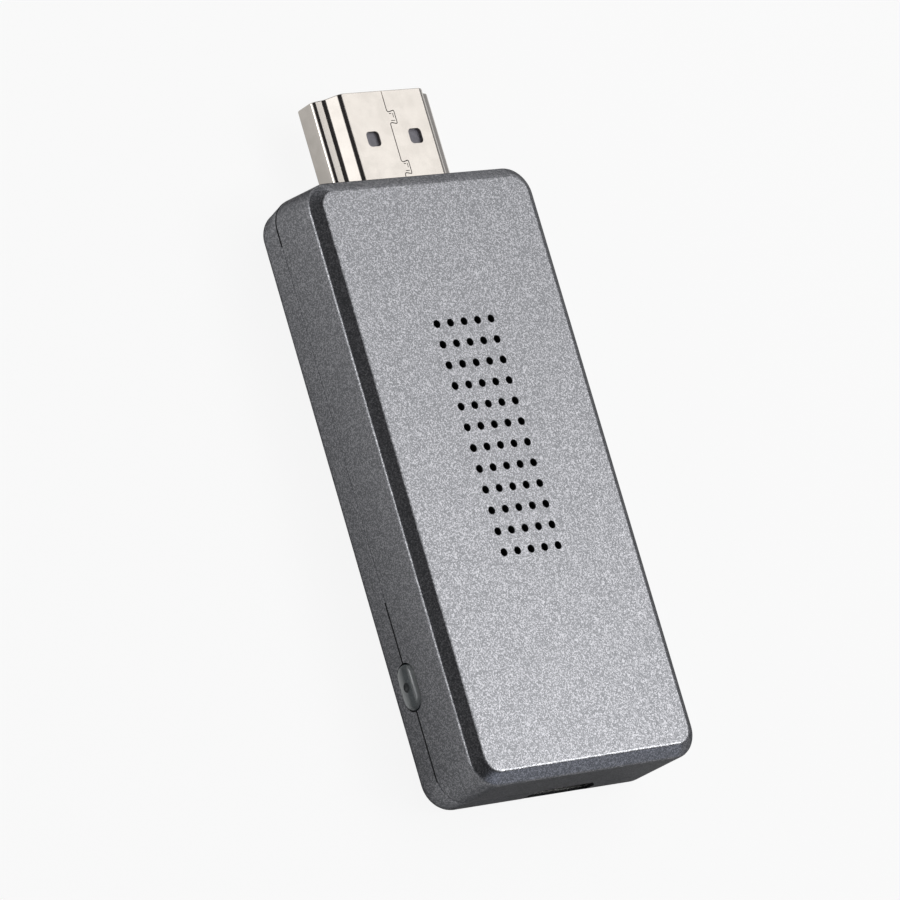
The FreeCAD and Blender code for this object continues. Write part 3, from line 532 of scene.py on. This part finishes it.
# Status lamp: a small lamp beside the board's notch, which shines through the clear button.
# Its lens is cast epoxy, water-clear with a slight milkiness.
cast_epoxy = finish(
    "cast_epoxy", ("#E6E9DC", "#F1F3E8"), 0.3 * mm, 0.001 * mm, (0.06, 0.14),
    Transmission_Weight=0.7, IOR=1.53,
)
dress(cast_epoxy, "status_lamp")

# Push switch: a moulded base, a folded stainless cover, a bowed snap spring and a white
# plunger that the button's post pushes in.

# Glass-filled nylon: black, with a dry grain where the fibres reach the skin.
filled_nylon = finish(
    "glass_filled_nylon", ("#161719", "#1F2022"), 0.15 * mm, 0.006 * mm, (0.45, 0.6)
)
dress(filled_nylon, "switch_base")

# Cold-rolled stainless steel: cool grey, satin from the rolls.
rolled_steel = finish(
    "rolled_stainless_steel", ("#A6A8AA", "#B4B6B8"), 0.2 * mm, 0.002 * mm, (0.2, 0.3),
    Metallic=1,
)
dress(rolled_steel, "switch_cover", "switch_spring")

# Acetal: waxy white, with a soft even sheen.
acetal = finish(
    "moulded_acetal", ("#DAD9D4", "#E4E3DE"), 0.4 * mm, 0.002 * mm, (0.3, 0.4),
    Subsurface_Weight=0.1, Subsurface_Scale=0.5 * mm,
)
dress(acetal, "switch_plunger")

# Power socket: a tin-plated steel shell rolled round a black tongue with five contacts,
# soldered under the board so that its mouth looks out through the end wall.

# Tin-plated steel: bright but softly mottled, like new solder.
tin_plate = finish(
    "tin_plated_steel", ("#AFAFAD", "#C2C2C0"), 0.4 * mm, 0.003 * mm, (0.2, 0.32), Metallic=1
)
dress(tin_plate, "power_socket_shell")
dress(filled_nylon, "power_socket_insulator")

# Gold plate over nickel on the contacts: warm yellow, polished by the stamping die.
gold_plate = finish(
    "gold_plate", ("#D8AE58", "#E6C071"), 0.2 * mm, 0.001 * mm, (0.12, 0.22), Metallic=1
)
dress(gold_plate, "power_socket_contacts", "plug_upper_contacts", "plug_lower_contacts")

# Display plug: one steel sheet rolled to the plug's section and plated with nickel. A
# dovetailed seam closes it along the narrow face, two windows are stamped through each
# wide wall, and an ear on each side is soldered to the board.

# Liquid-crystal polymer of the insulator: dark purplish grey, dry, with faint flow marks.
dark_polymer = finish(
    "liquid_crystal_polymer", ("#706E76", "#7D7B83"), 0.3 * mm, 0.006 * mm, (0.42, 0.55)
)
dress(dark_polymer, "plug_insulator")

# Nickel plate on rolled steel: bright and slightly warm. The rolls leave fine straight
# lines along the sheet, 0.05 mm apart, which the plating nearly fills.
nickel_plate = finish(
    "nickel_plated_steel", ("#C8C2BB", "#D0CAC3"), 1.5 * mm, 0.001 * mm, (0.13, 0.18),
    Metallic=1,
)
tree = nickel_plate.node_tree
place = add(tree, "ShaderNodeTexCoord").outputs["Object"]
line_width, line_length, line_depth = 0.05 * mm, 3 * mm, 0.0004 * mm
drawn = add(
    tree, "ShaderNodeMapping", {"Scale": (1 / line_width, 1 / line_length, 1 / line_width)},
    {"Vector": place},
)
lines = add(tree, "ShaderNodeTexNoise", {"Scale": 1, "Detail": 2}, {"Vector": drawn.outputs[0]})
rolled = add(
    tree, "ShaderNodeBump", {"Distance": line_depth}, {"Height": lines.outputs["Fac"]}
)
tree.links.new(rolled.outputs["Normal"], tree.nodes["Principled BSDF"].inputs["Normal"])

shell = plug_shape(8)
draw_out(shell, shell.faces[:], plug_tip - plug_rear)
ends = face_at(shell, 0) + face_at(shell, plug_tip - plug_rear)
step_in(shell, ends, plug_sheet)
rims = [edge for face in ends for edge in face.edges]
bmesh.ops.delete(shell, geom=ends, context="FACES_ONLY")
bmesh.ops.bridge_loops(shell, edges=rims)
tip_radius = 0.11 * mm
round_off(shell, 0, tip_radius, 3)
bmesh.ops.rotate(shell, matrix=stand_up, verts=shell.verts)
bmesh.ops.translate(shell, vec=(0, plug_tip, 0), verts=shell.verts)
shell = make_piece(shell, "plug_sheet_metal", nickel_plate)

cutters = []
window_size, window_radius, window_x, window_y = 1.5 * mm, 0.4 * mm, 2.485 * mm, 33.45 * mm
window_low, window_high = 2 * mm, 7.2 * mm
for x in (plug_x - window_x, plug_x + window_x):
    hole = rectangle(window_size, window_size, window_radius, (x, window_y))
    window = flat_shape(hole, 6, window_low)
    draw_out(window, window.faces[:], window_high - window_low)
    cutters.append(make_piece(window, "window", nickel_plate))

tab_places = (35.45 * mm, 30.45 * mm, 25.45 * mm)
tab_reach, tab_root, tab_tip = 0.82 * mm, 0.55 * mm, 0.74 * mm
seam_width, seam_corner, seam_depth = 0.09 * mm, 0.2 * mm, 1 * mm
seam_path = [(0, plug_tip + 0.85 * mm)]
for y in tab_places:
    seam_path += [(0, y + tab_root), (tab_reach, y + tab_tip)]
    seam_path += [(tab_reach, y - tab_tip), (0, y - tab_root)]
seam_path.append((0, plug_rear - 0.6 * mm))
seam = bmesh.new()
seam_low = plug_top - 0.525 * mm
points = [seam.verts.new((plug_x + x, y, seam_low)) for x, y in seam_path]
path = [seam.edges.new(pair) for pair in zip(points, points[1:])]
ribbon = bmesh.ops.extrude_edge_only(seam, edges=path)["geom"]
ribbon = [part for part in ribbon if isinstance(part, bmesh.types.BMVert)]
bmesh.ops.translate(seam, vec=(0, 0, seam_depth), verts=ribbon)
folds = [edge for edge in seam.edges if edge.calc_face_angle(0) > math.radians(5)]
bmesh.ops.bevel(
    seam, geom=folds, offset=seam_corner, offset_type="OFFSET", segments=4, profile=0.5,
    affect="EDGES", material=-1,
)
bmesh.ops.solidify(seam, geom=seam.faces[:], thickness=seam_width)
cutters.append(make_piece(seam, "seam", nickel_plate))
# Three fine slots in each tab of the seam: (x, y) of the middle from the tab's root, then
# the size across and along the plug, in mm.
tab_slots = (
    (0.26, 0.36, 0.26, 0.07),
    (0.55, 0.18, 0.07, 0.44),
    (0.38, -0.34, 0.46, 0.07),
)
slots = bmesh.new()
for tab_y in tab_places[:2]:
    for x, y, width, length in tab_slots:
        middle = Vector((plug_x + x * mm, tab_y + y * mm, plug_top - 0.025 * mm))
        reach = Vector((width * mm, length * mm, seam_depth)) / 2
        bar(slots, middle - reach, middle + reach)
cutters.append(make_piece(slots, "tab_slots", nickel_plate))
combine(shell, cutters, "DIFFERENCE")

ear_y, ear_length, pin_length = 25.0 * mm, 2.2 * mm, 0.9 * mm
ear_start, pin_start, ear_end = 6.75 * mm, 9.05 * mm, 9.35 * mm
ears = bmesh.new()
for side in (-1, 1):
    start, pin, end = [plug_x + side * reach for reach in (ear_start, pin_start, ear_end)]
    bar(
        ears, (min(start, end), ear_y - ear_length / 2, board_high),
        (max(start, end), ear_y + ear_length / 2, board_high + plug_sheet),
    )
    bar(
        ears, (min(pin, end), ear_y - pin_length / 2, board_low - plug_sheet),
        (max(pin, end), ear_y + pin_length / 2, board_high + 0.1 * mm),
    )
bmesh.ops.recalc_face_normals(ears, faces=ears.faces)
ears.from_mesh(shell.data)
ears.to_mesh(shell.data)
ears.free()
shade(shell)
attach(shell, "housing")
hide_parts("plug_shell")

# Upper housing: a deep cover moulded and painted like the tray, with a chamfer round its
# top and sixty cooling holes over the processor. It snaps over the tray's lip.
shoulder, top_height, inner_roof = 8.25 * mm, 9.2 * mm, 8.0 * mm
chamfer_width, shoulder_radius, top_radius = 1.1 * mm, 0.2 * mm, 0.2 * mm
rebate_width, rebate_depth = 0.70 * mm, 0.75 * mm
cover = flat_shape(outline, corner_steps, parting)
top = draw_out(cover, cover.faces[:], shoulder - parting)
step_in(cover, top, chamfer_width)
bmesh.ops.translate(
    cover, vec=(0, 0, top_height - shoulder), verts=list({v for f in top for v in f.verts})
)
round_off(cover, top_height, top_radius, 4)
round_off(cover, shoulder, shoulder_radius, 5)
round_off(cover, parting, seam_bevel, 2)
widen_plug_end(cover)
underside = face_at(cover, parting)
outer_faces = set(cover.faces) - set(underside)
step_in(cover, underside, rebate_width - seam_bevel)
underside = draw_out(cover, underside, rebate_depth)
step_in(cover, underside, wall - rebate_width)
draw_out(cover, underside, inner_roof - parting - rebate_depth)
# Inside faces and the parting groove take the bare dark moulding; in the groove this is partly
# painted shade.
for face in cover.faces:
    painted = face in outer_faces and face.calc_center_median().z > parting + seam_bevel
    face.material_index = 0 if painted else 1
close_seam(cover)
cover = make_piece(cover, "cover_moulding", metallic_paint, bare_abs_and_seam_shade)

vent_x, vent_y, vent_radius = -3.2 * mm, -7.91 * mm, 0.35 * mm
vent_columns, vent_rows, pitch_across, pitch_along = 5, 12, 1.6 * mm, 2.02 * mm
mouth_low, mouth_growth = top_height - 0.05 * mm, 1.28
vents = bmesh.new()
upright_bar(vents, vent_radius, vent_x, vent_y, inner_roof - 0.5 * mm, mouth_low, 28)
mouth = draw_out(vents, face_at(vents, mouth_low), 2 * (top_height - mouth_low))
centre = Matrix.Translation((-vent_x, -vent_y, 0))
bmesh.ops.scale(
    vents, vec=(mouth_growth, mouth_growth, 1), space=centre, verts=mouth[0].verts
)
hole = vents.verts[:] + vents.edges[:] + vents.faces[:]
for column in range(vent_columns):
    for row in range(vent_rows):
        if column or row:
            copy = bmesh.ops.duplicate(vents, geom=hole)["geom"]
            verts = [part for part in copy if isinstance(part, bmesh.types.BMVert)]
            step = (column * pitch_across, row * pitch_along, 0)
            bmesh.ops.translate(vents, vec=step, verts=verts)
for face in vents.faces:
    face.material_index = 1
vents = make_piece(vents, "vents", metallic_paint, bare_abs_and_seam_shade)
grooves = bmesh.new()
snap_bars(grooves, snap_radius + 0.05 * mm, snap_length + 0.1 * mm)
for face in grooves.faces:
    face.material_index = 1
grooves = make_piece(grooves, "snap_grooves", metallic_paint, bare_abs_and_seam_shade)
combine(cover, wall_openings() + [vents, grooves], "DIFFERENCE")

post_radius, pin_bore, rib_reach = 1.3 * mm, 0.65 * mm, 4.8 * mm
sunk = inner_roof + 0.6 * mm
inside = bmesh.new()
for x in (-boss_x, boss_x):
    for y in boss_places:
        post = upright_bar(inside, post_radius, x, y, board_high, sunk)
        foot = [
            face for face in {f for v in post for f in v.link_faces}
            if abs(face.calc_center_median().z - board_high) < 0.01 * mm
        ]
        step_in(inside, foot, post_radius - pin_bore)
        draw_out(inside, foot, pin_rise + 0.05 * mm)
bar(inside, (plug_x - rib_reach, rib_near, plug_top), (plug_x + rib_reach, rib_far, sunk))
add_inside(cover, inside)
shade(cover)
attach(cover, "housing")
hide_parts("upper_housing")

# Side button: a cap of smoky clear polycarbonate with a rounded edge and a small finger
# dimple. A flange behind the wall keeps it in, and its post reaches to the switch.

# Smoky polycarbonate: dark and glassy, slightly misted, so what lies behind it blurs. Its
# colour is painted palest along its lower and upper edges and darkest just above its middle:
# painted light for the floor's light that the lower rim gathers, and a painted lift of the
# upper flank, which lies in the housing's shade.
painted_light_fold, palest, darkest = 3.35 * mm, 2.2 * mm, 3.1 * mm
smoky_polycarbonate = finish(
    "smoky_polycarbonate", ("#8C9498", "#99A1A5"), 0.5 * mm, 0.001 * mm, (0.08, 0.13),
    Transmission_Weight=0.4, IOR=1.585, Specular_IOR_Level=0.9,
)
tree = smoky_polycarbonate.node_tree
place = add(tree, "ShaderNodeTexCoord").outputs["Object"]
# Painted light: the colour is folded about the button's height and is palest at its edges. The
# level named thickness below is this painted light, not the plastic's depth.
spot = add(tree, "ShaderNodeSeparateXYZ", {}, {0: place})
fold = add(tree, "ShaderNodeMath", {"operation": "PINGPONG"}, {0: spot.outputs["Z"]})
fold.inputs[1].default_value = painted_light_fold
thickness = add(
    tree, "ShaderNodeMapRange", {"From Min": palest, "From Max": darkest},
    {"Value": fold.outputs[0]},
)
smoke_and_painted_light = add(
    tree, "ShaderNodeValToRGB", {"stops": ((0.0, "#DADDDD"), (1.0, "#444E51"))},
    {"Fac": thickness.outputs["Result"]},
)
tree.links.new(smoke_and_painted_light.outputs["Color"], tree.nodes["Principled BSDF"].inputs["Base Color"])

# The dimple keeps the mould's spark-eroded grain and is dull. Its near-black colour is
# painted shade in the hollow.
eroded_polycarbonate_painted_shade = finish(
    "spark_eroded_polycarbonate", ("#1F2224", "#2B2F31"), 0.08 * mm, 0.004 * mm, (0.45, 0.6)
)
flange_rim, flange_back, flange_front = 0.55 * mm, 11.4 * mm, 11.85 * mm
front_radius, dimple_radius, dimple_lift = 0.55 * mm, 0.57 * mm, 0.35 * mm
button = button_shape(flange_rim, flange_back)
front = draw_out(button, button.faces[:], flange_front - flange_back)
step_in(button, front, flange_rim)
draw_out(button, front, button_front - flange_front)
round_off(button, button_front, front_radius, 8)
bmesh.ops.rotate(button, matrix=turn_outwards, verts=button.verts)
button = make_piece(button, "button_moulding", smoky_polycarbonate, eroded_polycarbonate_painted_shade)
dimple = bmesh.new()
bmesh.ops.create_uvsphere(
    dimple, u_segments=40, v_segments=20, radius=dimple_radius,
    matrix=Matrix.Translation((-button_front - dimple_lift, button_y, button_z)),
)
for face in dimple.faces:
    face.material_index = 1
dimple = make_piece(dimple, "dimple", smoky_polycarbonate, eroded_polycarbonate_painted_shade)
combine(button, [dimple], "DIFFERENCE")
post_radius, post_z = 0.65 * mm, 2.325 * mm
post_tip, post_root = -10.35 * mm, -11.6 * mm
post = bmesh.new()
lying = Matrix.Rotation(math.radians(90), 4, "Y")
post_middle = Matrix.Translation(((post_tip + post_root) / 2, button_y, post_z))
bmesh.ops.create_cone(
    post, cap_ends=True, segments=32, radius1=post_radius, radius2=post_radius,
    depth=post_tip - post_root, matrix=post_middle @ lying,
)
combine(button, [make_piece(post, "post", smoky_polycarbonate)], "UNION")
shade(button)
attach(button, "button")
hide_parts("side_button")

# Studio: a wide sheet of pale paper under the part, seven soft lamps round it and a pale
# room. The sheet looks white to the camera and keeps a soft shadow. In the part's gloss it
# is dimmer, and a painted shade makes it dimmest by the near end.
camera_share, near_share, far_share, fade_reach = 0.9, 0.14, 0.5, 35 * mm
sheet_size, sheet_drop = 4, 0.02 * mm
sheet = bmesh.new()
bmesh.ops.create_grid(sheet, x_segments=1, y_segments=1, size=sheet_size)
bmesh.ops.translate(sheet, vec=(0, 0, -sheet_drop), verts=sheet.verts)
pale_paper = bpy.data.materials.new("pale_paper")
pale_paper.use_nodes = True
tree = pale_paper.node_tree
paper = tree.nodes["Principled BSDF"]
paper.inputs["Base Color"].default_value = linear("#D8D8D7")
paper.inputs["Roughness"].default_value = 0.9
rays = add(tree, "ShaderNodeLightPath")
gloss = add(
    tree, "ShaderNodeMath", {"operation": "MAXIMUM"},
    {0: rays.outputs["Is Glossy Ray"], 1: rays.outputs["Is Transmission Ray"]},
)
place = add(tree, "ShaderNodeTexCoord").outputs["Object"]
spot = add(tree, "ShaderNodeSeparateXYZ", {}, {0: place})
# Painted shade: the sheet's glow in the gloss fades from the far end towards the near end.
painted_shade_fade = add(
    tree, "ShaderNodeMapRange",
    {"From Min": -fade_reach, "From Max": fade_reach, "To Min": near_share, "To Max": far_share},
    {"Value": spot.outputs["Y"]},
)
in_gloss = add(
    tree, "ShaderNodeMath", {"operation": "MULTIPLY"},
    {0: gloss.outputs[0], 1: painted_shade_fade.outputs["Result"]},
)
share = add(
    tree, "ShaderNodeMath", {"operation": "MULTIPLY_ADD"},
    {0: rays.outputs["Is Camera Ray"], 2: in_gloss.outputs[0]},
)
share.inputs[1].default_value = camera_share
glow = add(tree, "ShaderNodeEmission", {"Color": linear("#FFFFFF"), "Strength": 1.0})
blend = add(
    tree, "ShaderNodeMixShader", {},
    {0: share.outputs[0], 1: paper.outputs[0], 2: glow.outputs[0]},
)
tree.links.new(blend.outputs[0], tree.nodes["Material Output"].inputs["Surface"])
sheet = make_piece(sheet, "paper_sheet", pale_paper)

# The room's own light is pale low down and darkens upwards.
world = bpy.data.worlds.new("pale_room")
bpy.context.scene.world = world
world.use_nodes = True
tree = world.node_tree
direction = add(tree, "ShaderNodeTexCoord").outputs["Generated"]
rise = add(tree, "ShaderNodeSeparateXYZ", {}, {0: direction})
room = add(
    tree, "ShaderNodeValToRGB", {"stops": ((0.0, "#B2B3B6"), (0.62, "#303032"))},
    {"Fac": rise.outputs["Z"]},
)
tree.links.new(room.outputs["Color"], tree.nodes["Background"].inputs["Color"])


def soft_lamp(name, place, size, radiance, tone="#FFFFFF"):
    """A rectangular soft lamp that faces the part and looks as bright at any size."""
    lamp = bpy.data.lights.new(name, "AREA")
    lamp.color = linear(tone)[:3]
    lamp.shape = "RECTANGLE"
    lamp.size, lamp.size_y = size
    lamp.energy = radiance * math.pi * size[0] * size[1]
    stand = bpy.data.objects.new(name, lamp)
    stand.location = place
    stand.rotation_euler = (-Vector(place)).to_track_quat("-Z", "Y").to_euler()
    bpy.context.scene.collection.objects.link(stand)


# Three lamps, one before the other, make the top's gloss brighten towards the near end.
# The near and far lamps light the ends. The low lamp shows in the plug's sloping side, and
# the edge lamp draws a light line along the cover's shoulder.
soft_lamp("large_lamp", (0.27, 0.12, 0.52), (0.8, 0.66), 1.36)
soft_lamp("middle_lamp", (0.33, -0.03, 0.5), (0.3, 0.3), 1.15)
soft_lamp("small_lamp", (0.36, -0.12, 0.46), (0.16, 0.16), 6)
soft_lamp("near_lamp", (0.189, -0.519, 0.281), (0.66, 0.26), 0.55, "#E2EBFF")
soft_lamp("far_lamp", (0.4, 0.45, 0.1), (0.4, 0.2), 0.8)
soft_lamp("low_lamp", (-0.58, 0.12, 0.135), (0.5, 0.26), 1.4)
soft_lamp("edge_lamp", (-0.52, 0.25, 0.055), (0.36, 0.06), 4)

# The camera stands 0.6 m away, high over the button side, with a long lens and turned so
# that the part leans across the picture. Its place follows from the housing's edges, the
# plug and the holes, as the photograph shows them.
camera = bpy.data.objects.new("camera", bpy.data.cameras.new("camera"))
camera.data.lens, camera.data.sensor_width = 268.6, 36
camera.data.clip_start = 0.01
camera.location = (-0.385547, -0.124067, 0.472094)
target = Vector((0.001054, 0.004587, 0.0007))
roll = Quaternion((0, 0, 1), math.radians(59.52))
level = (target - camera.location).to_track_quat("-Z", "Y")
camera.rotation_euler = (level @ roll).to_euler()
bpy.context.scene.collection.objects.link(camera)
bpy.context.scene.camera = camera
bpy.context.scene.view_settings.view_transform = "Standard"
